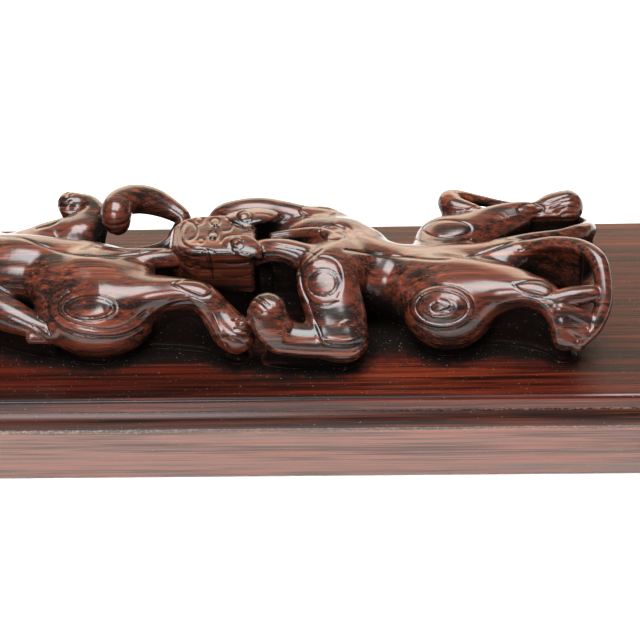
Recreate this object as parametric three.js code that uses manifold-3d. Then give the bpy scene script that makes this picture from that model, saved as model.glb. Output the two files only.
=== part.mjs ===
// Carved wood paperweight: two slender four-legged beasts walk in line along a long
// moulded block, carved with it from one piece of dark rosewood. Millimetres, +Z up,
// origin at the middle of the underside, the beasts' heads towards -X.
import * as THREE from 'three';
import { mergeVertices } from 'three/addons/utils/BufferGeometryUtils.js';
import Module from 'manifold-3d';

const wasm = await Module();
wasm.setup();

// Driving dimensions
const FIGURE_LENGTH = 100;  // one beast, from the nose to the far end of its tail
const PROCESSION = 1.79;    // both beasts in line, as a share of one beast's length
const FIGURE_WIDTH = 0.60;  // across the paws, as a share of one beast's length
const FIGURE_PITCH = 0.791; // from one beast to the next, as a share of its length
const END_MARGIN = 35.7;    // bare ground at each end of the block
const SIDE_MARGIN = 2.5;    // bare ground along each side
const PLINTH_HEIGHT = 13.4; // upright face of the block
const STEP_RISE = 3.6;      // sloping shoulder above the upright face
const STEP_SET_IN = 1.8;    // how far the lip stands back from the upright face
const LIP_HEIGHT = 3.5;     // rounded lip around the ground
const LIP_ROUND = 1.1;      // radius of the lip's upper edge
const ARRIS_ROUND = 0.5;    // worn edge between shoulder and upright face
const QUIRK = 0.35;         // fine groove where the lip meets the shoulder

// Sizes that follow from them
const GROUND = PLINTH_HEIGHT + STEP_RISE + LIP_HEIGHT;
const LENGTH = FIGURE_LENGTH * PROCESSION + 2 * (END_MARGIN + STEP_SET_IN);
const WIDTH = FIGURE_LENGTH * FIGURE_WIDTH + 2 * (SIDE_MARGIN + STEP_SET_IN);
const UNIT = FIGURE_LENGTH / 100;
const ROOT_DEPTH = 1.5 * UNIT;
const WALL_SET_IN = 0.9;
const FAR_STRIDE = 5;

// Mesh detail
const BODY_SIDES = 12;
const LIMB_SIDES = 9;
const HEAD_SIDES = 12;
const HEAD_SQUARENESS = 0.55;
const TAIL_SIDES = 8;
const THIN_SIDES = 6;
const RINGS_PER_SPAN = 1;

// A station is [x, y, height above the ground, radius] in hundredths of a beast's length.
// x runs along the block from the middle of the procession and y towards its far side.
// These limbs are shared by both beasts, written at the place of the rear one.
const FORE_PART = {
  neck: [[7, 0, 14, 3], [12, -1, 16.4, 2.7], [16.3, -2, 17, 2.7], [21, -3, 15.6, 3.4], [26, -3, 13.4, 4.8]],
  chest: [[23, 0, 11.5, 5], [29.3, 1, 10.6, 7.3], [35.3, 0, 8.5, 8]],
  farShoulder: [[34, 6, 10.8, 5.4], [30, 11, 10.7, 4.9], [24.6, 16, 11.4, 3.9]],
  farForeleg: [
    [30, 11, 10.7, 4.5], [24.6, 16, 11.3, 4.1], [20, 17, 12, 3.5], [15.4, 18, 13, 3.2],
    [10, 18, 14.1, 3.2], [4.7, 18, 13.7, 3.1], [1, 18, 12.2, 3], [-1.2, 18, 7.5, 2.8], [-2, 18, 1, 2.8],
  ],
  farBreast: [[16.5, 12, 10, 3.5], [22, 11, 11.2, 5], [28, 8, 11.8, 6]],
  maneLock: [
    [13, 6, 15.5, 0.8], [18.2, 6, 16, 1.2], [23.4, 4, 17.6, 1.3], [27, 1, 18, 1.5],
    [28, -3, 18.1, 1.5], [26, -7, 18.6, 1.3], [22.7, -10, 18.9, 0.8],
  ],
};
const NEAR_SHOULDER = [[28, -5, 14, 5.8], [25.8, -10, 15, 5.7], [26.6, -14, 12.8, 5.6], [27.8, -17.6, 10, 5.4], [28.8, -20.2, 7.2, 4.8]];
const NEAR_FOREARM = [[29.6, -21, 6.9, 4.2], [24.7, -21.6, 7.1, 3.6], [19, -21.6, 7.5, 3.5], [15.6, -21, 8.4, 3.9], [13.8, -20.4, 11, 4], [13, -19.6, 13.6, 3.8]];
const NEAR_PAW = [13.2, -19.6, 13.2];
const NEAR_PAW_TOES = [[12.6, -19.4, 16], [11, -19.6, 15.3], [9.8, -20, 14], [9.4, -20.4, 12.1]];
const STRETCHED_FORELEG = [
  [-55.3, -6, 9.4, 4.9], [-48.6, -10.2, 8.8, 4.2], [-44, -12.9, 8.3, 3.8], [-40, -15, 7.7, 3],
  [-36.5, -16.5, 6.9, 2.6], [-34.9, -17.4, 6.8, 1.9],
];
const STRETCHED_TOES = [[-33, -15.4, 8.4], [-32.4, -16.6, 6.7], [-33.4, -17.6, 5.6], [-35.4, -18.4, 5.7]];

const REAR_BEAST = {
  trunk: [[29.3, 1, 10.6, 7.4], [35.3, 0, 8.5, 8], [41.5, 0, 7.4, 8], [50.4, 0, 7.3, 8], [58.2, 0, 8.5, 7.1], [63.7, 0, 11.4, 5.3], [67, 0, 13.5, 3.5]],
  nearHip: [[46, -5, 8.5, 8], [54, -8.5, 10.5, 7.4], [61.5, -9.4, 11.6, 5.6], [67, -10.6, 12.6, 4.2], [71, -13.4, 13.4, 3]],
  farHip: [[50, 7, 7.5, 6.5], [57, 12, 10, 5.3], [64, 15, 11.3, 3.3], [70, 17.5, 12.6, 1.9]],
  nearThigh: [[53.3, -13, 9.7, 6.5], [60.7, -12.6, 12.2, 4.5], [67, -14, 14, 3.2], [71.5, -15.4, 14.2, 3.2], [74.4, -17.2, 12.4, 3.2], [76.3, -19, 9.7, 3.4], [77, -20.3, 6.8, 3.4]],
  farThigh: [[55.8, 13, 9.5, 4.2], [61.7, 16, 12.6, 2.6], [68, 18, 13.7, 1.7], [72.6, 19, 12.8, 1.9], [76.5, 20, 12.9, 3.1], [79.7, 20, 12.8, 4]],
  nearTail: [
    [63.7, 0, 11.9, 4.4], [67.2, 0, 14.6, 2.6], [70.5, -1, 16.5, 1.8], [75.3, -3, 19, 1.5], [80.5, -6, 20, 1.7],
    [84, -10, 19.3, 1.9], [85, -14.4, 16.2, 1.9], [84.7, -18, 13, 1.9], [82.8, -21.2, 9.8, 1.7], [80.2, -22.8, 7.1, 1.2],
  ],
  farTail: [
    [63.8, 2, 13.2, 3.1], [70.6, 5, 14.3, 1.6], [77.5, 8, 13.4, 1.4], [81.2, 10, 12.8, 1.7], [83.6, 12.5, 11.4, 1.9],
    [84.4, 16.5, 9, 2], [82.5, 21.5, 7, 2], [78, 25.5, 6.5, 1.7], [72.5, 28, 7, 1.3], [66.5, 28.6, 7.6, 1.1],
    [60.6, 28.4, 9.2, 1.3], [55.4, 27, 11.1, 1.8], [53.2, 24.8, 11.6, 2.6], [54.2, 22.2, 11.6, 2.7], [57.4, 20.6, 11.8, 2], [61, 19.6, 11.6, 1.2],
  ],
};
const REAR_HIND_TOES = [
  [[74.3, -17.4, 13.9, 2.2], [78, -17, 14.8, 2.2], [82.4, -16.4, 15.1, 1.9]],
  [[75.6, -18.8, 12.9, 2.1], [78.6, -19.4, 12.1, 1.9], [82.2, -20.6, 10.6, 1.6]],
  [[76.2, -20.2, 10.5, 2], [80.2, -21.8, 9, 1.7]],
  [[76.2, -21.2, 7.7, 1.9], [79.4, -22.4, 6, 1.6]],
];
const FRONT_BEAST = {
  trunk: [[-49.8, 2, 11, 6.6], [-43.3, 0.6, 11.2, 7.8], [-34.5, 0, 10.1, 8.1], [-26.6, 0, 10.5, 6.7], [-20.9, 0, 11.6, 4.5]],
  nearHip: [[-33, -6, 10.5, 7.5], [-24, -9, 11.5, 7], [-15.5, -10, 11.5, 5], [-8.5, -11.4, 12.6, 3.6], [-3, -13.4, 13.4, 2.6]],
  loin: [[-27, -5, 12.4, 6.4], [-21.5, -5.8, 12.4, 5.4], [-17, -6, 12.4, 4.4]],
  farHip: [[-44, 8, 8.6, 6.5], [-37, 12, 9.8, 4.9], [-31.4, 12.6, 11.2, 4.9], [-28.8, 15, 12.2, 3.6]],
  nearThigh: [[-21.8, -13, 11, 6.5], [-13.7, -12.8, 12.9, 3.9], [-5.7, -13.8, 14.7, 2.9], [-1.2, -14.8, 14.1, 3], [2, -16.4, 10.5, 3.6], [4.4, -18.2, 8, 4.2], [6, -19.2, 7.1, 4.2]],
  farThigh: [[-38.4, 13, 10.2, 4.1], [-32.7, 15, 12.2, 3], [-28.6, 18, 13.4, 2.8], [-29.7, 21, 14.2, 2.4], [-32.4, 22, 13.8, 2.8], [-34.4, 22, 14, 3]],
  nearTail: [[-25, -2, 13.1, 4.6], [-18.1, -2.4, 14.4, 3.4], [-13.1, -2, 15.2, 2.5], [-8.6, -1, 14.6, 2.3], [-4, 1, 13, 2.3]],
  farTail: [
    [-28.7, 2, 13.8, 3.1], [-22.3, 4, 12.6, 1.3], [-15.9, 7, 11.2, 1.1], [-11.7, 10, 10.6, 1.2], [-9.1, 13, 12.1, 1.5],
    [-7.7, 15, 14.3, 1.9], [-10.7, 17, 15.7, 2.5], [-14.8, 18, 17.3, 3.2], [-18.7, 17, 18.6, 3.4], [-21.6, 14, 19.3, 3.4],
    [-22.2, 11, 18.6, 3.6], [-22, 10, 17, 2.9],
  ],
};
const FRONT_HIND_PAW = [5.5, -19, 8];
const FRONT_HIND_TOES = [[7.3, -19.9, 10.6], [8, -19.9, 8.6], [7.8, -19.9, 6.6], [6.8, -19.9, 4.6]];

// Haunches and far paws: [x, y, height], [radii], tilt in degrees about x.
const HAUNCHES = {
  rearNear: [[52, -13, 8.1], [9.8, 8.4, 8], 20],
  rearFar: [[53, 12, 8.6], [8, 7, 6.5], -20],
  frontNear: [[-24.4, -13, 7.5], [12.4, 9, 8.5], 15],
  frontFar: [[-39.5, 11.5, 7.6], [8.5, 6.5, 5.8], -20],
};
// Head stations run from the muzzle to the nape: [x, y, height, half width, half depth].
const HEAD = [
  [-9.9, 3.2, 13.8, 2, 2.4], [-9.5, 3.2, 13.9, 3.4, 3.1], [-8.6, 3.1, 14, 4.8, 3.9], [-6.8, 3, 14.1, 6.1, 4.5],
  [-4.4, 3, 14, 6.9, 4.9],
  [-2, 2.8, 13.8, 7.2, 5.2], [4, 2.8, 13.2, 7.3, 5.9], [9.6, 2.4, 13, 6.8, 6],
];
const JAW_REST = [[-5.4, 2.5, 12, 6], [9.2, 2.4, 12, 6]];
const EAR_FLATNESS = 0.34;
const FAR_EAR = [[5.4, 8.2, 18.9, 2.6], [8.6, 8.8, 18.9, 3.4], [11.4, 9.6, 18.7, 2.6], [14, 10.8, 18.4, 0.5]];
const NEAR_EAR = [[4.4, -1.6, 18.9, 2.2], [6.8, -2, 18.9, 3], [9, -3.2, 18.4, 2.3], [11, -4.6, 17.2, 0.5]];
const KNOBS = [[6.7, 8.4, 19.6, 1.6], [5.6, -1.9, 19.6, 1.3], [0.7, 5.2, 19, 0.9], [0.2, 0.6, 19, 0.9]];

const solidOf = (geometry) => {
  const bare = geometry.clone();
  bare.deleteAttribute('normal');
  bare.deleteAttribute('uv');
  const merged = mergeVertices(bare);
  return new wasm.Manifold(new wasm.Mesh({
    numProp: 3,
    vertProperties: new Float32Array(merged.attributes.position.array),
    triVerts: new Uint32Array(merged.index.array),
  }));
};

const geometryOf = (solid) => {
  const mesh = solid.getMesh();
  const geometry = new THREE.BufferGeometry();
  geometry.setAttribute('position', new THREE.BufferAttribute(mesh.vertProperties, 3));
  geometry.setIndex(new THREE.BufferAttribute(mesh.triVerts, 1));
  return geometry.toNonIndexed();
};

// The outer skin of a solid: pockets closed in between overlapping limbs are solid wood.
const outerSkin = (solid) => {
  const bodies = solidOf(geometryOf(solid)).decompose();
  return geometryOf(bodies.sort((first, second) => second.volume() - first.volume())[0]);
};

// Closed skin over a stack of rings that have the same number of points, with flat ends.
const skin = (rings) => {
  const sides = rings[0].length;
  const points = rings.flat();
  const faces = [];
  for (let ring = 0; ring + 1 < rings.length; ring += 1) {
    for (let side = 0; side < sides; side += 1) {
      const a = ring * sides + side;
      const b = ring * sides + (side + 1) % sides;
      faces.push(a, b, b + sides, a, b + sides, a + sides);
    }
  }
  const last = (rings.length - 1) * sides;
  for (let side = 1; side + 1 < sides; side += 1) {
    faces.push(0, side + 1, side, last, last + side, last + side + 1);
  }
  const geometry = new THREE.BufferGeometry().setFromPoints(points);
  geometry.setIndex(faces);
  return geometry;
};

const place = ([x, y, height]) => new THREE.Vector3(x * UNIT, y * UNIT, GROUND + height * UNIT);

// Superellipse ring around a centre, across `side` and `up`.
const ring = (centre, side, up, wide, deep, count, squareness = 1) => {
  const points = [];
  for (let step = 0; step < count; step += 1) {
    const angle = (step + 0.5) * 2 * Math.PI / count;
    const across = Math.sign(Math.cos(angle)) * Math.abs(Math.cos(angle)) ** squareness;
    const along = Math.sign(Math.sin(angle)) * Math.abs(Math.sin(angle)) ** squareness;
    points.push(centre.clone().addScaledVector(side, wide * across).addScaledVector(up, deep * along));
  }
  return points;
};

// A limb: round rings along a smooth line through its stations, with rounded ends.
const limb = (stations, sides = LIMB_SIDES, rings = RINGS_PER_SPAN, flatness = 1) => {
  const line = new THREE.CatmullRomCurve3(stations.map(place));
  const girth = new THREE.CatmullRomCurve3(stations.map((s) => new THREE.Vector3(s[3] * UNIT, 0, 0)));
  line.curveType = 'catmullrom';
  girth.curveType = 'catmullrom';
  const steps = (stations.length - 1) * rings;
  const sections = [];
  let up = new THREE.Vector3(0, 0, 1);
  const addRing = (centre, along, radius) => {
    up = up.clone().addScaledVector(along, -up.dot(along)).normalize();
    const side = new THREE.Vector3().crossVectors(up, along).normalize();
    sections.push(ring(centre, side, up, radius, radius * flatness, sides));
  };
  for (let step = 0; step <= steps; step += 1) {
    const t = step / steps;
    const centre = line.getPoint(t);
    const along = line.getTangent(t);
    const radius = girth.getPoint(t).x;
    if (step === 0) {
      addRing(centre.clone().addScaledVector(along, -0.75 * radius), along, 0.6 * radius);
    }
    addRing(centre, along, radius);
    if (step === steps) {
      addRing(centre.clone().addScaledVector(along, 0.75 * radius), along, 0.6 * radius);
    }
  }
  return solidOf(skin(sections));
};

// The wall left standing under a limb: an upright strip down into the ground, a little nearer
// the middle of the block than the limb's line.
const wallUnder = (stations, share) => {
  const centres = stations.map(([x, y, height]) => place([x, y * WALL_SET_IN, height]));
  const sections = centres.map((centre, index) => {
    const before = centres[Math.max(index - 1, 0)];
    const after = centres[Math.min(index + 1, centres.length - 1)];
    const along = new THREE.Vector3(after.x - before.x, after.y - before.y, 0).normalize();
    const side = new THREE.Vector3(-along.y, along.x, 0).multiplyScalar(stations[index][3] * UNIT * share);
    const foot = GROUND - ROOT_DEPTH;
    const left = centre.clone().add(side);
    const right = centre.clone().sub(side);
    return [left, right, right.clone().setZ(foot), left.clone().setZ(foot)];
  });
  return solidOf(skin(sections));
};

const haunch = ([centre, radii, tilt]) => {
  const geometry = new THREE.SphereGeometry(1, 16, 9);
  geometry.scale(...radii.map((radius) => radius * UNIT));
  geometry.rotateX(THREE.MathUtils.degToRad(tilt));
  geometry.translate(...place(centre).toArray());
  return solidOf(geometry);
};

const knob = ([x, y, height, radius]) => {
  const geometry = new THREE.SphereGeometry(radius * UNIT, 7, 5);
  geometry.translate(...place([x, y, height]).toArray());
  return solidOf(geometry);
};

const shifted = (stations, shift) => stations.map(([x, ...rest]) => [x + shift, ...rest]);

// Head with its squared skull, flat leaf ears, brow knobs, eyes and the mass that it rests on.
const head = (shift) => {
  const sections = shifted(HEAD, shift).map(([x, y, height, wide, deep]) => ring(
    place([x, y, height]),
    new THREE.Vector3(0, 1, 0),
    new THREE.Vector3(0, 0, 1),
    wide * UNIT,
    deep * UNIT,
    HEAD_SIDES,
    HEAD_SQUARENESS,
  ));
  return [
    solidOf(skin(sections)),
    wallUnder(shifted(JAW_REST, shift), 1),
    limb(shifted(FAR_EAR, shift), THIN_SIDES, 1, EAR_FLATNESS),
    limb(shifted(NEAR_EAR, shift), THIN_SIDES, 1, EAR_FLATNESS),
    ...shifted(KNOBS, shift).map(knob),
  ];
};

// The front beast's far foreleg steps further ahead than the rest of its fore part.
const foreParts = (shift) => {
  const part = Object.fromEntries(Object.entries(FORE_PART).map(([name, stations]) => [
    name,
    shifted(stations, shift && name.startsWith('far') ? shift - FAR_STRIDE : shift),
  ]));
  return [
    limb(part.neck),
    limb(part.chest, BODY_SIDES),
    limb(part.farShoulder),
    limb(part.farForeleg),
    limb(part.farBreast),
    limb(part.maneLock, THIN_SIDES),
    wallUnder(part.chest, 0.75),
    wallUnder(part.farShoulder, 0.6),
    wallUnder(part.farForeleg, 0.6),
    wallUnder(part.farBreast, 0.7),
    wallUnder(part.maneLock, 0.6),
    ...head(shift),
  ];
};

// Short toes fanned out from the end of a paw.
const fan = (root, tips, radius) => tips.map((tip) => limb([[...root, radius], [...tip, radius * 0.7]], THIN_SIDES));

const toes = (list) => list.map((stations) => limb(stations, THIN_SIDES, 1));

const rearBeast = () => [
  ...foreParts(0),
  limb(NEAR_SHOULDER),
  limb(NEAR_FOREARM),
  wallUnder(NEAR_SHOULDER, 0.5),
  wallUnder(NEAR_FOREARM.slice(0, 5), 0.4),
  ...fan(NEAR_PAW, NEAR_PAW_TOES, 1.8),
  limb(REAR_BEAST.trunk, BODY_SIDES),
  limb(REAR_BEAST.nearHip),
  limb(REAR_BEAST.farHip),
  limb(REAR_BEAST.nearThigh),
  limb(REAR_BEAST.farThigh),
  limb(REAR_BEAST.nearTail, TAIL_SIDES),
  limb(REAR_BEAST.farTail, TAIL_SIDES),
  wallUnder(REAR_BEAST.trunk, 0.75),
  wallUnder(REAR_BEAST.nearHip, 0.7),
  wallUnder(REAR_BEAST.farHip, 0.7),
  wallUnder(REAR_BEAST.nearThigh, 0.4),
  wallUnder(REAR_BEAST.farThigh, 0.5),
  wallUnder(REAR_BEAST.nearTail.slice(0, 5), 0.6),
  wallUnder(REAR_BEAST.farTail.slice(0, 8), 0.6),
  wallUnder(REAR_BEAST.farTail.slice(11, 15), 0.7),
  haunch(HAUNCHES.rearNear),
  haunch(HAUNCHES.rearFar),
  ...toes(REAR_HIND_TOES),
];

const frontBeast = () => [
  ...foreParts(-100 * FIGURE_PITCH),
  limb(STRETCHED_FORELEG),
  wallUnder(STRETCHED_FORELEG, 0.4),
  ...toes(STRETCHED_TOES.map(([x, y, height]) => [[x - 3.5, y, height + 0.6, 1.3], [x, y, height, 0.9]])),
  limb(FRONT_BEAST.trunk, BODY_SIDES),
  limb(FRONT_BEAST.nearHip),
  limb(FRONT_BEAST.loin),
  limb(FRONT_BEAST.farHip),
  limb(FRONT_BEAST.nearThigh),
  limb(FRONT_BEAST.farThigh),
  limb(FRONT_BEAST.nearTail, TAIL_SIDES),
  limb(FRONT_BEAST.farTail),
  wallUnder(FRONT_BEAST.trunk, 0.75),
  wallUnder(FRONT_BEAST.nearHip, 0.7),
  wallUnder(FRONT_BEAST.farHip, 0.7),
  wallUnder(FRONT_BEAST.nearThigh, 0.4),
  wallUnder(FRONT_BEAST.farThigh, 0.5),
  wallUnder(FRONT_BEAST.nearTail.slice(0, 3), 0.6),
  wallUnder(FRONT_BEAST.farTail.slice(0, 5), 0.6),
  haunch(HAUNCHES.frontNear),
  haunch(HAUNCHES.frontFar),
  ...fan(FRONT_HIND_PAW, FRONT_HIND_TOES, 2.1),
];

// The block: rectangles stacked up the moulded profile, each [set in, height].
const block = () => {
  const shoulder = PLINTH_HEIGHT + STEP_RISE;
  const profile = [
    [0, 0],
    [0, PLINTH_HEIGHT - ARRIS_ROUND],
    [ARRIS_ROUND * 0.5, PLINTH_HEIGHT + ARRIS_ROUND * 0.6],
    [STEP_SET_IN, shoulder - QUIRK],
    [STEP_SET_IN + QUIRK, shoulder],
    [STEP_SET_IN, shoulder + QUIRK],
    [STEP_SET_IN, GROUND - LIP_ROUND],
    [STEP_SET_IN + LIP_ROUND * 0.3, GROUND - LIP_ROUND * 0.3],
    [STEP_SET_IN + LIP_ROUND, GROUND],
  ];
  const corners = [[1, 1], [-1, 1], [-1, -1], [1, -1]];
  return solidOf(skin(profile.map(([setIn, height]) => corners.map(([endways, sideways]) => new THREE.Vector3(
    endways * (LENGTH / 2 - setIn),
    sideways * (WIDTH / 2 - setIn),
    height,
  )))));
};

const carving = [...rearBeast(), ...frontBeast()].reduce((whole, piece) => whole.add(piece), block());

const surface = outerSkin(carving);
surface.computeVertexNormals();
const rosewood = new THREE.MeshStandardMaterial({ color: 0x4a2118, roughness: 0.35, metalness: 0 });
const paperweight = new THREE.Mesh(surface, rosewood);
paperweight.name = 'carved_paperweight';

const model = new THREE.Group();
model.add(paperweight);

export default model;
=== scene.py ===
"""Carved rosewood paperweight: two slender four-legged beasts in line on a moulded block.

The beasts are worked out as a distance field on a grid, the way a carver thinks of them: round
limbs carried along smooth lines and blended into each other, walls of wood left standing under
them, then grooves, ridges, rings and scrolls cut into the surface. The block is its moulded
profile carried round a rectangle. Lengths are millimetres until a mesh is made.
"""

import math

import bpy
import numpy as np
from mathutils import Matrix


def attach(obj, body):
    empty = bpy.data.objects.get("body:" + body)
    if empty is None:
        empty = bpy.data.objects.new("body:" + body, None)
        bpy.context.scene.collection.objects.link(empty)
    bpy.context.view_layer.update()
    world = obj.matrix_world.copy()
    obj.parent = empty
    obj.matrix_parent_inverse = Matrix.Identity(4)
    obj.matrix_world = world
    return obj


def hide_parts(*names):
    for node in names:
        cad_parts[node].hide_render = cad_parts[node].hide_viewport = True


bl_info = {
    "name": "Carved Beast Paperweight",
    "version": (1, 0, 0),
    "blender": (4, 5, 0),
    "location": "View3D > Sidebar > Paperweight",
    "description": "Two carved beasts in line on a moulded rosewood block",
    "category": "Add Mesh",
}

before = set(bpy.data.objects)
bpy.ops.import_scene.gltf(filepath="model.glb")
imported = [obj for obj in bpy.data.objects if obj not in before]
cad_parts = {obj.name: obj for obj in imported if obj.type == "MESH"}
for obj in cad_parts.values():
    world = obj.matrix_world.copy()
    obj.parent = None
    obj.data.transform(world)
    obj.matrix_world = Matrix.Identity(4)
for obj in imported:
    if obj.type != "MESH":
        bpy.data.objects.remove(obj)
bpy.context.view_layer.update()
NODE = "carved_paperweight"

MM = 0.001
F = np.float32

# Shape of the block, in millimetres
LENGTH = 254.0
WIDTH = 68.6
PLINTH_HEIGHT = 13.4
STEP_RISE = 3.6
STEP_SET_IN = 1.8
LIP_HEIGHT = 3.5
LIP_ROUND = 1.1
ARRIS_ROUND = 0.5
QUIRK = 0.35
FOOT_BEVEL = 0.4
COVE_BULGE = 0.35
GROUND = PLINTH_HEIGHT + STEP_RISE + LIP_HEIGHT

# From one beast to the next, and how much further on the front one's far foreleg is
PITCH = 79.1
FAR_STRIDE = 5.0

# A station is (x, y, height above the ground, radius) in millimetres.
# Fore part shared by both beasts, at the place of the rear one.
FORE_LIMBS = {
    "neck": ([
        (7, 0, 14, 3), (12, -1, 16.4, 2.7), (16.3, -2, 17, 2.7), (21, -3, 15.6, 3.4),
        (26, -3, 13.4, 4.8),
    ], 1.2),
    "chest": ([(23, 0, 11.5, 5), (29.3, 1, 10.6, 7.3), (35.3, 0, 8.5, 8)], 2.0),
    "far_shoulder": ([(34, 6, 10.8, 5.4), (30, 11, 10.7, 4.9), (24.6, 16, 11.4, 3.9)], 1.5),
    "far_foreleg": ([
        (30, 11, 10.7, 4.5), (24.6, 16, 11.3, 4.1), (20, 17, 12, 3.5), (15.4, 18, 13, 3.2),
        (10, 18, 14.1, 3.2), (4.7, 18, 13.7, 3.1), (1, 18, 12.2, 3), (-1.2, 18, 7.5, 2.8),
        (-2, 18, 1, 2.8),
    ], 1.2),
    "far_breast": ([(16.5, 12, 10, 3.5), (22, 11, 11.2, 5), (28, 8, 11.8, 6)], 1.5),
    "mane_lock": ([
        (13, 6, 15.5, 0.8), (18.2, 6, 16, 1.2), (23.4, 4, 17.6, 1.3), (27, 1, 18, 1.5),
        (28, -3, 18.1, 1.5), (26, -7, 18.6, 1.3), (22.7, -10, 18.9, 0.8),
    ], 0.4),
}
NEAR_ARM = {
    "near_shoulder": ([
        (28, -5, 14, 7), (25.8, -10, 15, 6.8), (26.6, -14, 12.8, 6.6), (27.8, -17.6, 10, 6.4),
        (28.8, -20.2, 7.2, 5.6),
    ], 1.5, 0.62, 42),
    "near_forearm": ([
        (29.6, -21, 6.9, 4.6), (24.7, -21.6, 7.1, 3.9), (19, -21.6, 7.5, 3.8), (15.6, -21, 8.4, 4.2),
        (13.8, -20.4, 11, 4.4), (13, -19.6, 13.6, 4.2),
    ], 1.2, 0.8, 45),
}
STRETCHED_ARM = {
    "stretched_foreleg": ([
        (-55.3, -6, 9.4, 4.9), (-48.6, -10.2, 8.8, 4.2), (-44, -12.9, 8.3, 3.8), (-40, -15, 7.7, 3),
        (-36.5, -16.5, 6.9, 2.6), (-34.9, -17.4, 6.8, 1.9),
    ], 1.2),
}
REAR_LIMBS = {
    "trunk": ([
        (29.3, 1, 10.6, 7.4), (35.3, 0, 8.5, 8), (41.5, 0, 7.4, 8), (50.4, 0, 7.3, 8),
        (58.2, 0, 8.5, 7.1), (63.7, 0, 11.4, 5.3), (67, 0, 13.5, 3.5),
    ], 2.0),
    "near_hip": ([
        (46, -5, 8.5, 8), (54, -8.5, 10.5, 7.4), (61.5, -9.4, 11.6, 5.6), (67, -10.6, 12.6, 4.2),
        (71, -13.4, 13.4, 3),
    ], 2.5),
    "far_hip": ([(50, 7, 7.5, 6.5), (57, 12, 10, 5.3), (64, 15, 11.3, 3.3), (70, 17.5, 12.6, 1.9)], 2.0),
    "near_thigh": ([
        (53.3, -13, 9.7, 6.5), (60.7, -12.6, 12.2, 4.5), (67, -14, 14, 3.2), (71.5, -15.4, 14.2, 3.2),
        (74.4, -17.2, 12.4, 3.2), (76.3, -19, 9.7, 3.4), (77, -20.3, 6.8, 3.4),
    ], 2.0),
    "far_thigh": ([
        (55.8, 13, 9.5, 4.2), (61.7, 16, 12.6, 2.6), (68, 18, 13.7, 1.7), (72.6, 19, 12.8, 1.9),
        (76.5, 20, 12.9, 3.1), (79.7, 20, 12.8, 4),
    ], 1.5),
    "near_tail": ([
        (63.7, 0, 11.9, 4.4), (67.2, 0, 14.6, 2.6), (70.5, -1, 16.5, 1.8), (75.3, -3, 19, 1.5),
        (80.5, -6, 20, 1.7),
        (84, -10, 19.3, 1.9), (85, -14.4, 16.2, 1.9), (84.7, -18, 13, 1.9), (82.8, -21.2, 9.8, 1.7),
        (80.2, -22.8, 7.1, 1.2),
    ], 0.8),
    "far_tail": ([
        (63.8, 2, 13.2, 3.1), (70.6, 5, 14.3, 1.6), (77.5, 8, 13.4, 1.4), (81.2, 10, 12.8, 1.7),
        (83.6, 12.5, 11.4, 1.9),
        (84.4, 16.5, 9, 2), (82.5, 21.5, 7, 2), (78, 25.5, 6.5, 1.7), (72.5, 28, 7, 1.3),
        (66.5, 28.6, 7.6, 1.1),
        (60.6, 28.4, 9.2, 1.3), (55.4, 27, 11.1, 1.8), (53.2, 24.8, 11.6, 2.6),
        (54.2, 22.2, 11.6, 2.7), (57.4, 20.6, 11.8, 2), (61, 19.6, 11.6, 1.2),
    ], 0.6),
    "hind_toe_1": ([(74.3, -17.4, 13.9, 2.2), (78, -17, 14.8, 2.2), (82.4, -16.4, 15.1, 1.9)], 0.4),
    "hind_toe_2": ([(75.6, -18.8, 12.9, 2.1), (78.6, -19.4, 12.1, 1.9), (82.2, -20.6, 10.6, 1.6)], 0.4),
    "hind_toe_3": ([(76.2, -20.2, 10.5, 2), (80.2, -21.8, 9, 1.7)], 0.4),
    "hind_toe_4": ([(76.2, -21.2, 7.7, 1.9), (79.4, -22.4, 6, 1.6)], 0.4),
}
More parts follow.
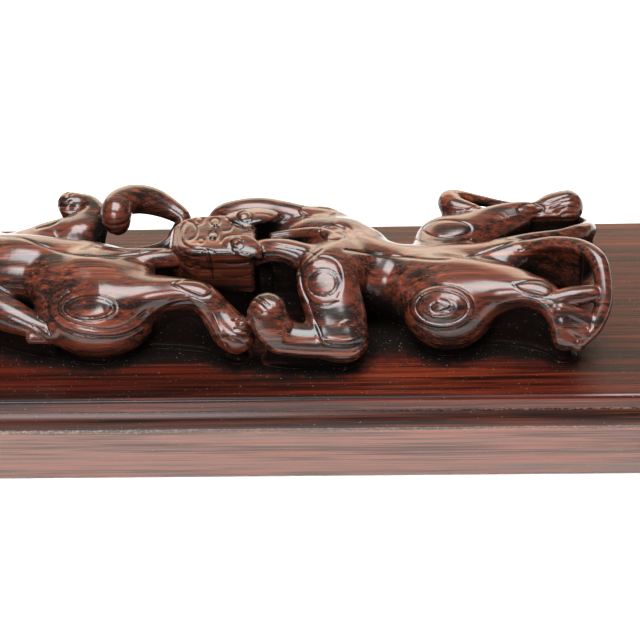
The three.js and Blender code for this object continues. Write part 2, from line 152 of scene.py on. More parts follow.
FRONT_LIMBS = {
    "trunk": ([
        (-49.8, 2, 11, 6.6), (-43.3, 0.6, 11.2, 7.8), (-34.5, 0, 10.1, 8.1), (-26.6, 0, 10.5, 6.7),
        (-20.9, 0, 11.6, 4.5),
    ], 2.0),
    "near_hip": ([
        (-33, -6, 10.5, 7.5), (-24, -9, 11.5, 7), (-15.5, -10, 11.5, 5), (-8.5, -11.4, 12.6, 3.6),
        (-3, -13.4, 13.4, 2.6),
    ], 2.5),
    "loin": ([(-27, -5, 12.4, 6.4), (-21.5, -5.8, 12.4, 5.4), (-17, -6, 12.4, 4.4)], 2.0),
    "far_hip": ([
        (-44, 8, 8.6, 6.5), (-37, 12, 9.8, 4.9), (-31.4, 12.6, 11.2, 4.9), (-28.8, 15, 12.2, 3.6),
    ], 2.0),
    "near_thigh": ([
        (-21.8, -13, 11, 6.5), (-13.7, -12.8, 12.9, 3.9), (-5.7, -13.8, 14.7, 2.9),
        (-1.2, -14.8, 14.1, 3), (2, -16.4, 10.5, 3.6), (4.4, -18.2, 8, 4.2), (6, -19.2, 7.1, 4.2),
    ], 2.0),
    "far_thigh": ([
        (-38.4, 13, 10.2, 4.1), (-32.7, 15, 12.2, 3), (-28.6, 18, 13.4, 2.8), (-29.7, 21, 14.2, 2.4),
        (-32.4, 22, 13.8, 2.8), (-34.4, 22, 14, 3),
    ], 1.5),
    "near_tail": ([
        (-25, -2, 13.1, 4.6), (-18.1, -2.4, 14.4, 3.4), (-13.1, -2, 15.2, 2.5), (-8.6, -1, 14.6, 2.3),
        (-4, 1, 13, 2.3),
    ], 1.4),
    "far_tail": ([
        (-28.7, 2, 13.8, 3.1), (-22.3, 4, 12.6, 1.3), (-15.9, 7, 11.2, 1.1), (-11.7, 10, 10.6, 1.2),
        (-9.1, 13, 12.1, 1.5),
        (-7.7, 15, 14.3, 1.9), (-10.7, 17, 15.7, 2.5), (-14.8, 18, 17.3, 3.2), (-18.7, 17, 18.6, 3.4),
        (-21.6, 14, 19.3, 3.4),
        (-22.2, 11, 18.6, 3.6), (-22, 10, 17, 2.9),
    ], 0.6),
}
# Haunches: centre, radii, tilt in degrees about x
REAR_HAUNCHES = [((52, -13, 8.1), (9.8, 8.4, 8), 20), ((53, 12, 8.6), (8, 7, 6.5), -20)]
FRONT_HAUNCHES = [((-24.4, -13, 7.5), (12.4, 9, 8.5), 15), ((-39.5, 11.5, 7.6), (8.5, 6.5, 5.8), -20)]
# Head stations from the muzzle to the nape: x, y, height, half width, half depth
HEAD = [
    (-9.9, 3.2, 13.8, 2, 2.4), (-9.5, 3.2, 13.9, 3.4, 3.1), (-8.6, 3.1, 14, 4.8, 3.9),
    (-6.8, 3, 14.1, 6.1, 4.5), (-4.4, 3, 14, 6.9, 4.9), (-2, 2.8, 13.8, 7.2, 5.2),
    (4, 2.8, 13.2, 7.3, 5.9), (9.6, 2.4, 13, 6.8, 6),
]
HEAD_ROUND = 1.3
JAW_REST = [(-1.6, 2.5, 12, 6.6), (3.4, 2.4, 12, 6.6)]
# Ears: stations, flatness, tilt in degrees
EARS = [
    ([
        (5.4, 8.2, 18.9, 2.6), (8.6, 8.8, 18.9, 3.4), (11.4, 9.6, 18.7, 2.6), (14, 10.8, 18.4, 0.4),
    ], 0.34, -6),
    ([
        (4.4, -1.6, 18.9, 2.2), (6.8, -2, 18.9, 3), (9, -3.2, 18.4, 2.3), (11, -4.6, 17.2, 0.4),
    ], 0.34, 14),
]
KNOBS = [(6.7, 8.4, 19.8, 1.6), (5.6, -1.9, 19.9, 1.3), (0.7, 5.2, 19, 0.9), (0.2, 0.6, 19, 0.9)]
# Toes: where each starts and ends. Each kind has its radii at the start and at the end.
PAW_TOES = [
    ((13.2, -19.6, 13.2), tip)
    for tip in ((12.6, -19.4, 16), (11, -19.6, 15.3), (9.8, -20, 14), (9.4, -20.4, 12.1))
]
PAW_TOE_RADII = (1.8, 1.2)
STRETCHED_TOES = [
    ((x - 3.5, y, h + 0.6), (x, y, h))
    for x, y, h in ((-33, -15.4, 8.4), (-32.4, -16.6, 6.7), (-33.4, -17.6, 5.6), (-35.4, -18.4, 5.7))
]
STRETCHED_TOE_RADII = (1.3, 0.9)
FRONT_HIND_TOES = [
    ((5.5, -19, 8), (x, -19.9, h))
    for x, h in ((7.3, 10.6), (8, 8.6), (7.8, 6.6), (6.8, 4.6))
]
FRONT_HIND_TOE_RADII = (2.2, 1.5)

# The walls stand nearer the block's middle than the limbs that they carry
WALL_SET_IN = 0.9
# Walls of wood left under the limbs: limb name, share of its radius, first station, end of the run
FORE_WALLS = [
    ("chest", 0.75, 0, 3), ("far_shoulder", 0.6, 0, 3), ("far_foreleg", 0.6, 0, 9),
    ("far_breast", 0.7, 0, 3), ("mane_lock", 0.6, 0, 7),
]
ARM_WALLS = [("near_shoulder", 0.45, 0, 5), ("near_forearm", 0.35, 0, 5)]
STRETCHED_WALLS = [("stretched_foreleg", 0.4, 0, 6)]
REAR_WALLS = [
    ("trunk", 0.75, 0, 7), ("near_hip", 0.7, 0, 5), ("far_hip", 0.7, 0, 4), ("near_thigh", 0.4, 0, 7),
    ("far_thigh", 0.5, 0, 6), ("near_tail", 0.6, 0, 5),
    ("far_tail", 0.6, 0, 8), ("far_tail", 0.7, 11, 15),
]
FRONT_WALLS = [
    ("trunk", 0.75, 0, 5), ("near_hip", 0.7, 0, 5), ("far_hip", 0.7, 0, 4), ("near_thigh", 0.4, 0, 7),
    ("far_thigh", 0.5, 0, 6), ("near_tail", 0.45, 0, 3), ("far_tail", 0.6, 0, 5),
]

# How softly parts run into each other, in millimetres
HEAD_BLEND = 0.8
EAR_BLEND = 0.3
KNOB_BLEND = 0.2
TOE_BLEND = 0.35
HAUNCH_BLEND = 2.2
KNOB_FLATNESS = 0.55

# How the beasts meet the ground: a fillet, then a low ledge that follows their outline
FILLET = 1.6
FILLET_DROP = 0.15
FILLET_REACH = 1.4
LEDGE_WIDTH = 1.5
LEDGE_RISE = 0.08
LEDGE_BLEND = 0.3
ROOT_DEPTH = 0.9

# The grid that each beast is carved in: its lowest and highest corner
REAR_BOX = ((-14, -32, GROUND - 1.5), (91, 33, 44.5))
FRONT_BOX = ((-93, -32, GROUND - 1.5), (14, 33, 44.5))
BLOCK_GRID = 1.0

# Carved lines, drawn as points of the photograph (right, down) and laid on the wood where the
# camera's lines of sight meet it. Each has the cut's depth, its half width and its points; a
# negative depth is a raised line. An oval is (centre right, centre down, half width, half height).
GROOVE = (0.24, 0.26)
FINE = (0.17, 0.22)
RIDGE = (-0.16, 0.34)
FORE_LINES = [
    (RIDGE, [(296, 264), (298, 280), (303, 295), (310, 315), (316, 332), (321, 346)]),
    (GROOVE, [(300, 262), (302, 280), (307, 295), (314, 315),
              (320, 332), (325, 342), (345, 345), (362, 342)]),
    (RIDGE, [(329, 339), (345, 341), (358, 338), (365, 332), (361, 325), (350, 321), (340, 324)]),
    (FINE, [(326, 350), (340, 351), (355, 350), (367, 342)]),
    (FINE, [(275, 347), (300, 349), (326, 350)]),
    (GROOVE, [(312, 262), (304, 270), (302, 282), (305, 294), (312, 302), (325, 306), (338, 302)]),
    (FINE, [(313, 258), (325, 257), (336, 262), (341, 272), (342, 285), (338, 298)]),
    (GROOVE, [(322, 250), (309, 260), (300, 272)]),
    (FINE, [(264, 243), (283, 246), (303, 250), (316, 256)]),
    (GROOVE, [(249, 304), (255, 307), (261, 312)]),
    (GROOVE, [(253, 300), (259, 303), (265, 309)]),
    (GROOVE, [(259, 298), (264, 301), (269, 306)]),
    (RIDGE, [(276, 302), (279, 310), (285, 318), (295, 324), (303, 324), (307, 318)]),
    (FINE, [(345, 226), (352, 230), (358, 240)]),
]
FORE_OVALS = [
    (GROOVE, (324, 283, 15.5, 14)), (FINE, (324, 283, 12.5, 11.5)),
    (GROOVE, (319, 211, 19, 6)), (GROOVE, (333, 233, 13, 7.5)),
]
HEAD_LINES = [
    (GROOVE, [(184, 224), (181, 231), (181, 239), (185, 245), (193, 248), (204, 249), (214, 252)]),
    (FINE, [(178, 228), (176, 237), (178, 247), (184, 253), (194, 256), (204, 256)]),
    (RIDGE, [(187, 227), (184, 234), (185, 241), (190, 245), (200, 246)]),
    (GROOVE, [(206, 250), (210, 258), (212, 268), (213, 280)]),
    (FINE, [(203, 252), (207, 259), (209, 268)]),
    (GROOVE, [(184, 264), (190, 267), (197, 265), (204, 268), (211, 270)]),
    (GROOVE, [(188, 221), (194, 224), (197, 230), (195, 237), (190, 240)]),
    (FINE, [(200, 214), (204, 218), (203, 223), (198, 225)]),
    (GROOVE, [(221, 215), (228, 219), (232, 225), (230, 230), (224, 231)]),
    (GROOVE, [(221, 242), (225, 237), (232, 235), (240, 234), (247, 232), (256, 232)]),
    (FINE, [(236, 226), (244, 228), (250, 231)]),
    (GROOVE, [(230, 248), (233, 252), (242, 253), (252, 256), (259, 260)]),
    (GROOVE, [(232, 222), (240, 226), (252, 228), (262, 226)]),
    (FINE, [(256, 214), (264, 214), (272, 216)]),
    (FINE, [(216, 262), (232, 264), (250, 262)]),
    (FINE, [(222, 276), (238, 277), (252, 274)]),
]
HEAD_OVALS = [
    (GROOVE, (215, 222, 4.6, 3.8)), (GROOVE, (213, 236, 4.6, 3.8)), (GROOVE, (245, 217, 7.2, 5.6)),
    (GROOVE, (237, 244, 6.4, 5)), (FINE, (199, 220, 3.2, 2.6)), (FINE, (201, 241, 3.2, 2.6)),
]
REAR_LINES = [
    (GROOVE, [(345, 250), (372, 254), (400, 257), (440, 260),
              (470, 257), (500, 247), (520, 240), (560, 235)]),
    (GROOVE, [(513, 284), (530, 281), (545, 283), (552, 289),
              (548, 296), (535, 295), (520, 290), (513, 284)]),
    (RIDGE, [(497, 304), (512, 299), (527, 298), (541, 303), (551, 314), (556, 330), (557, 346)]),
    (FINE, [(490, 316), (507, 306), (524, 303), (537, 309), (546, 321), (551, 338)]),
    (FINE, [(484, 330), (500, 316), (516, 309), (530, 312), (540, 324)]),
    (FINE, [(398, 322), (408, 336), (428, 347), (450, 348), (472, 342)]),
    (GROOVE, [(415, 240), (430, 244), (450, 243), (470, 239)]),
    (FINE, [(548, 203), (560, 198), (572, 195), (583, 197)]),
    (FINE, [(551, 208), (562, 203), (574, 201), (584, 203)]),
    (FINE, [(554, 213), (565, 208), (576, 206), (585, 209)]),
    (FINE, [(558, 217), (568, 213), (578, 212), (585, 215)]),
    (GROOVE, [(436, 303), (431, 306), (433, 311), (440, 312), (447, 309)]),
    (GROOVE, [(440, 300), (447, 302), (451, 306), (448, 311)]),
    (FINE, [(434, 308), (439, 305), (445, 307)]),
    (FINE, [(442, 207), (452, 210), (466, 210), (478, 206)]),
]
REAR_OVALS = [
    (RIDGE, (442, 307, 28.5, 19)), (GROOVE, (442, 307, 32, 21.8)), (GROOVE, (442, 307, 25.4, 16.4)),
    (RIDGE, (440, 307, 18, 10.5)), (GROOVE, (447, 229, 24, 8.6)), (GROOVE, (531, 209, 12.5, 5)),
]
FRONT_LINES = [
    (GROOVE, [(-6, 236), (20, 238), (40, 245), (60, 252),
              (80, 256), (110, 257), (140, 254), (170, 249)]),
    (GROOVE, [(62, 288), (52, 295), (48, 304), (49, 314), (55, 323), (66, 330), (84, 335),
              (108, 337), (130, 333), (146, 322), (160, 311), (175, 303), (190, 301)]),
    (RIDGE, [(66, 290), (57, 297), (53, 305), (54, 314), (61, 322), (76, 329), (100, 333),
             (118, 332), (134, 327), (148, 317), (161, 307), (176, 300), (190, 298)]),
    (GROOVE, [(71, 292), (62, 298), (58, 306), (60, 314), (70, 321),
              (90, 327), (112, 328), (130, 322), (146, 311)]),
    (GROOVE, [(172, 284), (185, 280), (200, 281), (210, 287),
              (210, 294), (202, 297), (188, 292), (172, 284)]),
    (GROOVE, [(14, 229), (25, 223), (38, 220), (52, 217), (62, 219), (52, 225), (36, 229), (14, 229)]),
    (RIDGE, [(190, 299), (203, 303), (212, 312), (218, 326), (222, 340)]),
    (FINE, [(135, 336), (155, 326), (175, 312), (190, 308), (203, 316), (212, 330), (217, 345)]),
    (FINE, [(150, 340), (168, 325), (184, 316), (198, 321), (207, 335)]),
    (GROOVE, [(234, 320), (244, 320), (254, 325)]), (GROOVE, [(235, 329), (245, 330), (256, 336)]),
    (GROOVE, [(233, 338), (241, 341), (252, 347)]),
    (FINE, [(225, 343), (230, 350), (240, 353), (248, 351)]),
    (GROOVE, [(99, 214), (103, 221), (111, 225), (124, 223), (132, 216)]),
    (FINE, [(101, 225), (110, 230), (122, 229), (131, 224)]),
    (FINE, [(106, 233), (116, 234), (127, 230)]),
    (GROOVE, [(58, 207), (65, 205), (71, 201)]), (GROOVE, [(60, 200), (66, 198), (72, 194)]),
    (GROOVE, [(66, 194), (71, 192), (77, 191)]),
    (GROOVE, [(38, 318), (46, 324), (50, 334)]), (GROOVE, [(34, 326), (40, 331), (43, 338)]),
    (FINE, [(95, 246), (118, 250), (140, 251), (160, 247), (172, 238)]),
]
FRONT_OVALS = [(GROOVE, (90, 308, 26, 12.5)), (FINE, (90, 308, 22, 9.5))]
PICTURE_MIDDLE = 320
SENSOR_WIDTH = 36
# Lines of sight start at this height, above all the carving, and lines below the other are left out
SIGHT_START = 46
LOWEST_LINE = GROUND + 0.5
SIGHT_STEPS = 90

# The sky seen from a place: height and number of the directions in each ring, and how far out it looks
SKY_RINGS = ((0.8, 6), (0.35, 8))
SKY_DISTANCES = (1.0, 2.0, 3.5, 5.5, 8.0, 11.0)
# The painted shade on the walls under the limbs thins out from this height, over this much more
WALL_SHADE_TOP = 8.5
WALL_SHADE_FADE = 5.5
WALL_SHADE_MOST_FADE = 0.85
SHARP_EDGE = math.radians(28)

# Studio: every light faces this point. A soft box is name, place, size, power, colour.
LIT_POINT = (20, 0, 20)
SOFT_BOXES = [
    ("overhead box", (0, -90, 800), (640, 560), 15.5, (1, 1, 1)),
    ("back wall", (0, 900, 310), (1500, 500), 9.5, (1, 0.80, 0.60)),
    ("high back wall", (0, 820, 900), (1500, 640), 2.0, (1, 0.82, 0.62)),
    ("near window", (-160, -520, 430), (300, 180), 2.7, (1, 1, 1)),
]
WORLD_STRENGTH = 0.14
FLOOR_HALF = 3000


def smooth_min(first, second, blend):
    """The lesser of two distances, eased where they differ by less than blend."""
    near = np.maximum(blend - np.abs(first - second), 0) / F(blend)
    return np.minimum(first, second) - near * near * F(blend * 0.25)


def smooth_line(stations, step):
    """Catmull-Rom curve through the stations, with a point about every step."""
    points = np.asarray(stations, float)
    padded = np.vstack([2 * points[0] - points[1], points, 2 * points[-1] - points[-2]])
    runs = []
    for before, start, end, after in zip(padded, padded[1:], padded[2:], padded[3:]):
        count = max(2, math.ceil(np.linalg.norm((end - start)[:3]) / step))
        t = np.arange(count)[:, None] / count
        runs.append(0.5 * (
            2 * start + (end - before) * t + (2 * before - 5 * start + 4 * end - after) * t ** 2
            + (3 * start - before - 3 * end + after) * t ** 3
        ))
    runs.append(points[-1][None])
    line = np.vstack(runs)
    if line.shape[1] > 3:
        line[:, 3] = np.maximum(line[:, 3], Field.LEAST_RADIUS)
    return line


class Field:
    """Distance to the wood's surface on a regular grid, in millimetres, negative inside."""

    FAR = 9.0            # distance given where no part is near
    REACH = 2.0          # how far around a part its distance is worked out
    LEAST_RADIUS = 0.15
    CUT_REACH = 2.6      # how far a cut goes sideways, in half widths
    CUT_DEPTH = 4.0      # how far a cut goes along the line of sight
    SIGHT_SHARE = 0.22   # what a distance along the line of sight counts
    SIDE_MARGIN = 10
    DEPTH_MARGIN = 9

    def __init__(self, low, high, spacing):
        self.low = np.asarray(low, float)
        self.spacing = spacing
        self.count = np.ceil((np.asarray(high) - self.low) / spacing).astype(int) + 1
        self.wood = np.full(self.count, self.FAR, F)
        self.cut = np.zeros(self.count, F)
        self.walls = None    # the walls alone, before the limbs are joined
        self.plain = None    # the wood before its lines are cut
        self.lines = [(self.low[i] + spacing * np.arange(self.count[i])).astype(F) for i in range(3)]

    def window(self, low, high):
        first = np.clip(np.floor((np.asarray(low) - self.low) / self.spacing).astype(int), 0, self.count)
        last = np.clip(np.ceil((np.asarray(high) - self.low) / self.spacing).astype(int) + 1, 0, self.count)
        return first, np.maximum(first, last)

    def axes(self, first, last):
        return (
            self.lines[0][first[0]:last[0]][:, None, None],
            self.lines[1][first[1]:last[1]][None, :, None],
            self.lines[2][first[2]:last[2]][None, None, :],
        )

    def part(self, first, last):
        return self.wood[first[0]:last[0], first[1]:last[1], first[2]:last[2]]

    def join(self, first, last, distance, blend):
        view = self.part(first, last)
        view[...] = smooth_min(view, distance, blend)

    def limb(self, stations, blend, flat=1.0, tilt=0.0, step=0.8):
        """Round-ended cones between neighbouring points of a smooth line, the least distance of
        all. flat squashes the section along an axis that leans by tilt degrees from upright."""
        line = smooth_line(stations, step)
        margin = self.REACH + blend
        low = (line[:, :3] - line[:, 3:]).min(0) - margin
        high = (line[:, :3] + line[:, 3:]).max(0) + margin
        first, last = self.window(low, high)
        if np.any(last <= first):
            return
        best = np.full(last - first, self.FAR, F)
        lean = math.radians(tilt)
        squash = np.array([0, -math.sin(lean), math.cos(lean)])
        stretch = 1 / flat - 1
        for start, end in zip(line[:-1], line[1:]):
            radius = max(start[3], end[3]) + margin
            near, far = self.window(np.minimum(start, end)[:3] - radius, np.maximum(start, end)[:3] + radius)
            near = np.maximum(near, first)
            far = np.minimum(far, last)
            if np.any(far <= near):
                continue
            offset = [axis - F(value) for axis, value in zip(self.axes(near, far), start)]
            along = (end - start)[:3]
            if flat != 1.0:
                rise = (offset[1] * F(squash[1]) + offset[2] * F(squash[2])) * F(stretch)
                offset = [offset[0], offset[1] + rise * F(squash[1]), offset[2] + rise * F(squash[2])]
                along = along + squash * (along @ squash) * stretch
            share = sum(o * F(a) for o, a in zip(offset, along)) / F(along @ along + 1e-9)
            share = np.clip(share, 0, 1)
            gap = np.sqrt(sum((o - share * F(a)) ** 2 for o, a in zip(offset, along)))
            gap -= F(start[3]) + share * F(end[3] - start[3])
            if flat != 1.0:
                gap *= F((1 + flat) / 2)
            shift = near - first
            view = best[tuple(slice(s, s + n) for s, n in zip(shift, far - near))]
            np.minimum(view, gap, out=view)
        self.join(first, last, best, blend)

    def wall(self, stations, share, blend=1.2, step=1.5):
        """Upright wall under a limb: within share of its radius of its line on plan, and below it."""
        line = smooth_line(stations, step)
        margin = self.REACH + blend
        low = (line[:, :3] - line[:, 3:]).min(0) - margin
        high = (line[:, :3] + line[:, 3:]).max(0) + margin
        low[2] = self.low[2]
        first, last = self.window(low, high)
        if np.any(last <= first):
            return
        best = np.full(last - first, self.FAR, F)
        for start, end in zip(line[:-1], line[1:]):
            radius = max(start[3], end[3]) * share + margin
            lowest = np.minimum(start, end)[:3] - radius
            lowest[2] = self.low[2]
            highest = np.maximum(start, end)[:3] + radius
            near, far = self.window(lowest, highest)
            near = np.maximum(near, first)
            far = np.minimum(far, last)
            if np.any(far <= near):
                continue
            across, deep, up = self.axes(near, far)
            run = (end - start)[:2]
            t = ((across - F(start[0])) * F(run[0]) + (deep - F(start[1])) * F(run[1])) / F(run @ run + 1e-9)
            t = np.clip(t, 0, 1)
            gap = np.hypot(across - F(start[0]) - t * F(run[0]), deep - F(start[1]) - t * F(run[1]))
            gap -= F(start[3] * share) + t * F((end[3] - start[3]) * share)
            top = up - (F(start[2]) + t * F(end[2] - start[2]))
            shift = near - first
            view = best[tuple(slice(s, s + n) for s, n in zip(shift, far - near))]
            np.minimum(view, np.maximum(gap, top), out=view)
        self.join(first, last, best, blend)

    def lump(self, centre, radii, tilt, blend):
        """Ellipsoid turned by tilt degrees about x."""
        size = max(radii) + self.REACH + blend
        first, last = self.window(np.array(centre) - size, np.array(centre) + size)
        if np.any(last <= first):
            return
        dx, dy, dz = [axis - F(value) for axis, value in zip(self.axes(first, last), centre)]
        cos, sin = F(math.cos(math.radians(tilt))), F(math.sin(math.radians(tilt)))
        local = [dx, dy * cos + dz * sin, dz * cos - dy * sin]
        size_one = np.sqrt(sum((v / F(r)) ** 2 for v, r in zip(local, radii)))
        size_two = np.sqrt(sum((v / F(r * r)) ** 2 for v, r in zip(local, radii)))
        self.join(first, last, size_one * (size_one - 1) / np.maximum(size_two, F(1e-6)), blend)

    def squared(self, stations, rounding, blend):
        """Block with rounded edges whose half width and half depth change along x."""
        rows = np.asarray(stations, float)
        around = np.array([self.REACH + blend, self.SIDE_MARGIN, self.DEPTH_MARGIN])
        first, last = self.window(rows[:, :3].min(0) - around, rows[:, :3].max(0) + around)
        if np.any(last <= first):
            return
        x, y, z = self.axes(first, last)
        place_y, place_z, wide, deep = [np.interp(x, rows[:, 0], rows[:, i]).astype(F) for i in (1, 2, 3, 4)]
        middle = F((rows[0, 0] + rows[-1, 0]) / 2)
        half = F((rows[-1, 0] - rows[0, 0]) / 2)
        over = [
            np.abs(x - middle) - half + F(rounding),
            np.abs(y - place_y) - wide + F(rounding),
            np.abs(z - place_z) - deep + F(rounding),
        ]
        outside = np.sqrt(sum(np.maximum(o, 0) ** 2 for o in over))
        inside = np.minimum(np.maximum(np.maximum(over[0], over[1]), over[2]), 0)
        self.join(first, last, outside + inside - F(rounding), blend)

    def mark(self, places, depth, width, sight, step=0.5):
        """Groove, or ridge where depth is negative, along a line over the surface. Distances
        along the line of sight count little, so the cut follows the surface between its points."""
        line = smooth_line(places, step)
        reach = self.CUT_REACH * width
        frame_axes = np.array([sight.right, sight.top, sight.back * self.SIGHT_SHARE], F)
        directions = np.abs(np.array([sight.right, sight.top, sight.back]))
        swell = directions.T @ np.array([reach, reach, self.CUT_DEPTH])
        first, last = self.window(line.min(0) - swell, line.max(0) + swell)
        if np.any(last <= first):
            return
        best = np.full(last - first, self.FAR, F)
        for start, end in zip(line[:-1], line[1:]):
            near, far = self.window(np.minimum(start, end) - swell, np.maximum(start, end) + swell)
            if np.any(far <= near):
                continue
            offset = [axis - F(value) for axis, value in zip(self.axes(near, far), start)]
            along = frame_axes @ (end - start).astype(F)
            seen = [sum(o * a for o, a in zip(offset, row)) for row in frame_axes]
            share = np.clip(sum(s * a for s, a in zip(seen, along)) / F(along @ along + 1e-9), 0, 1)
            gap = np.sqrt(sum((s - share * a) ** 2 for s, a in zip(seen, along)))
            view = best[tuple(slice(a - b, c - b) for a, b, c in zip(near, first, far))]
            np.minimum(view, gap, out=view)
        change = F(depth) * np.exp(-(best / F(width)) ** 2)
        part = self.part(first, last)
        part += change
        cut = self.cut[first[0]:last[0], first[1]:last[1], first[2]:last[2]]
        cut += change


class Sight:
    """The camera's place and axes, in millimetres, and what it sees through points of the picture."""

    def __init__(self, stage):
        rise, turn, roll = stage.elevation, stage.azimuth, stage.roll
        level = math.cos(rise)
        self.back = np.array([math.sin(turn) * level, -math.cos(turn) * level, math.sin(rise)])
        side = np.cross((0, 0, 1), self.back)
        side /= np.linalg.norm(side)
        up = np.cross(self.back, side)
        self.right = math.cos(roll) * side + math.sin(roll) * up
        self.top = math.cos(roll) * up - math.sin(roll) * side
        self.place = (np.array(stage.target) + stage.distance * self.back) / MM
        self.focal = stage.lens / SENSOR_WIDTH * 2 * PICTURE_MIDDLE

    def meets(self, field, points):
        """Where the lines of sight through points of the picture first meet the field's wood."""
        across = (np.asarray(points, float) - PICTURE_MIDDLE) / self.focal
        ray = across[:, :1] * self.right - across[:, 1:] * self.top - self.back
        ray /= np.linalg.norm(ray, axis=1, keepdims=True)
        walked = (SIGHT_START - self.place[2]) / ray[:, 2]
        high = field.low + (field.count - 1) * field.spacing
        for _ in range(SIGHT_STEPS):
            place = self.place + walked[:, None] * ray
            inside = np.all((place > field.low) & (place < high), axis=1)
            gap = np.where(inside, sample(field, place), 2.0)
            walked += 0.7 * np.clip(np.minimum(gap, place[:, 2] - GROUND), -1, 2)
        return self.place + walked[:, None] * ray


def oval(shape):
    right, down, wide, high = shape
    turns = np.linspace(0, 2 * math.pi, 17)
    return [(right + wide * math.cos(t), down + high * math.sin(t)) for t in turns]


def engrave(field, source, lines, ovals, sight, shift=0.0):
    """Cuts lines and ovals, laid on the wood of source as the camera sees it, moved by shift."""
    for (depth, width), points in [*lines, *((cut, oval(shape)) for cut, shape in ovals)]:
        places = sight.meets(source, points)
        places = places[places[:, 2] > LOWEST_LINE]
        if len(places) > 1:
            field.mark(places + (shift, 0, 0), depth, width, sight)


def lifted(stations, shift=0.0):
    """Stations with their heights measured from the underside, moved along x by shift."""
    return [(x + shift, y, height + GROUND, *rest) for x, y, height, *rest in stations]


def stride(name, shift):
    """How far along x a limb goes: the front beast's far foreleg steps further than the rest."""
    return shift - FAR_STRIDE if shift and name.startswith("far") else shift


def add_limbs(field, limbs, shift=0.0):
    for name, (stations, blend, *section) in limbs.items():
        field.limb(lifted(stations, stride(name, shift)), blend, *section)


def add_walls(field, walls, limbs, shift=0.0):
    for name, share, first, last in walls:
        line = lifted(limbs[name][0], stride(name, shift))[first:last]
        field.wall([(x, y * WALL_SET_IN, height, radius) for x, y, height, radius in line], share)


def add_toes(field, toes, root_radius, tip_radius):
    for root, tip in toes:
        field.limb(lifted([(*root, root_radius), (*tip, tip_radius)]), TOE_BLEND)


def add_head(field, shift):
    field.squared(lifted(HEAD, shift), HEAD_ROUND, HEAD_BLEND)
    for stations, flat, tilt in EARS:
        field.limb(lifted(stations, shift), EAR_BLEND, flat, tilt)
    for x, y, height, radius in KNOBS:
        radii = (radius, radius, radius * KNOB_FLATNESS)
        field.lump((x + shift, y, height + GROUND), radii, 0, KNOB_BLEND)


def add_haunches(field, haunches):
    for centre, radii, tilt in haunches:
        field.lump((centre[0], centre[1], centre[2] + GROUND), radii, tilt, HAUNCH_BLEND)


def rear_beast_shape(field):
    add_walls(field, FORE_WALLS, FORE_LIMBS)
    add_walls(field, REAR_WALLS, REAR_LIMBS)
    add_walls(field, ARM_WALLS, NEAR_ARM)
    field.wall(lifted(JAW_REST), 1.0)
    field.walls = field.wood.copy()
    add_limbs(field, FORE_LIMBS)
    add_head(field, 0.0)
    add_limbs(field, NEAR_ARM)
    add_toes(field, PAW_TOES, *PAW_TOE_RADII)
    add_haunches(field, REAR_HAUNCHES)
    add_limbs(field, REAR_LIMBS)


def front_beast_shape(field):
    add_walls(field, FORE_WALLS, FORE_LIMBS, -PITCH)
    add_walls(field, FRONT_WALLS, FRONT_LIMBS)
    add_walls(field, STRETCHED_WALLS, STRETCHED_ARM)
    field.wall(lifted(JAW_REST, -PITCH), 1.0)
    field.walls = field.wood.copy()
    add_limbs(field, FORE_LIMBS, -PITCH)
    add_head(field, -PITCH)
    add_limbs(field, STRETCHED_ARM)
    add_toes(field, STRETCHED_TOES, *STRETCHED_TOE_RADII)
    add_haunches(field, FRONT_HAUNCHES)
    add_limbs(field, FRONT_LIMBS)
    add_toes(field, FRONT_HIND_TOES, *FRONT_HIND_TOE_RADII)


def settle_on_ground(field):
    """Eases the wood into the ground with a small fillet and a low ledge, and closes it below."""
    up = field.lines[2][None, None, :]
    ground = np.broadcast_to(up - F(GROUND - FILLET_DROP), field.wood.shape)
    skirt = smooth_min(field.wood, ground, FILLET)
    ledge = np.maximum(field.wood - F(LEDGE_WIDTH), up - F(GROUND + LEDGE_RISE))
    skirt = smooth_min(np.maximum(skirt, field.wood - F(FILLET_REACH)), ledge, LEDGE_BLEND)
    field.wood = np.maximum(skirt, F(GROUND - ROOT_DEPTH) - up)


